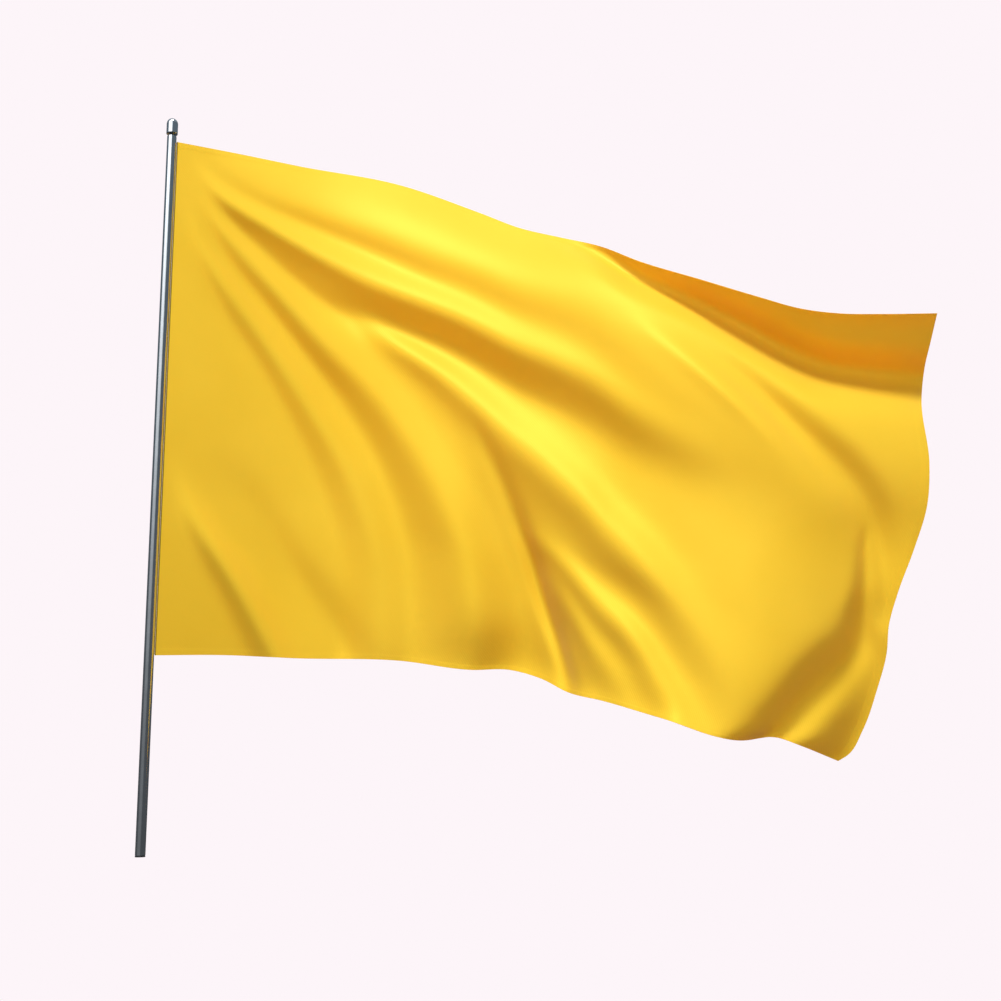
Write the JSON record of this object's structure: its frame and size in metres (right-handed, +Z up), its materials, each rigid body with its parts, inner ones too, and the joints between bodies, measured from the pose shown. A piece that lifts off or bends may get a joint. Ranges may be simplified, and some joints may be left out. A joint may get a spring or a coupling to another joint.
{
  "type": "flag on a round pole",
  "caption": "Rectangular cloth flag flying from a slender round metal pole, with its hoist cord sliding in a groove and a domed cap that turns.",
  "frame": {"origin": "centre of the pole's foot, on the flat underside of the foot plug", "axes": "+Z up the pole's axis, +X along the fly from the pole toward the free edge, -Y is the front of the flag"},
  "size_m": [1.286, 0.2925, 1.2583],
  "materials": {
    "pole_metal": "polished, anodised",
    "cap_metal": "polished",
    "neck_metal": "turned",
    "spring_steel": "dark, oiled",
    "bush_metal": "sintered, oil-filled",
    "plug_plastic": "moulded",
    "hoist_webbing": "woven tape",
    "flag_fabric": "light woven polyester, slightly translucent"
  },
  "bodies": {
    "pole": {"pole_tube": "pole_metal", "foot_plug": "plug_plastic", "neck_spindle": "neck_metal", "thrust_washer": "bush_metal", "retaining_clip": "spring_steel"},
    "cap": {"cap_sleeve": "cap_metal", "cap_bush": "bush_metal", "cap_dome": "cap_metal"},
    "hoist": {"hoist_cord": "hoist_webbing", "hoist_tape": "hoist_webbing"},
    "flag": {"flag_cloth": "flag_fabric"},
    "stop": {"cord_stop": "neck_metal"},
    "stop_screw": {"stop_screw": "spring_steel"}
  },
  "joints": [
    {"name": "cap_turn", "type": "hinge", "parent": "pole", "child": "cap", "pos_m": [0, 0, 1.229], "axis": [0, 0, 1], "continuous": true},
    {"name": "hoist_slide", "type": "slide", "parent": "pole", "child": "hoist", "axis": [0, 0, 1], "range_m": [-0.29, 0.01]},
    {"name": "flag_swing", "type": "hinge", "parent": "hoist", "child": "flag", "pos_m": [0.0092, 0, 0.764], "axis": [0, 0, 1], "range_deg": [-80, 50]},
    {"name": "stop_slide", "type": "slide", "parent": "pole", "child": "stop", "axis": [0, 0, 1], "range_m": [-0.29, 0.01]},
    {"name": "stop_screw_turn", "type": "hinge", "parent": "stop", "child": "stop_screw", "pos_m": [0.0039, 0, 0.3092], "axis": [1, 0, 0], "range_deg": [-360, 0]}
  ],
  "couplings": [
    {"joint": "stop_slide", "follows": "hoist_slide", "ratio": 1}
  ]
}
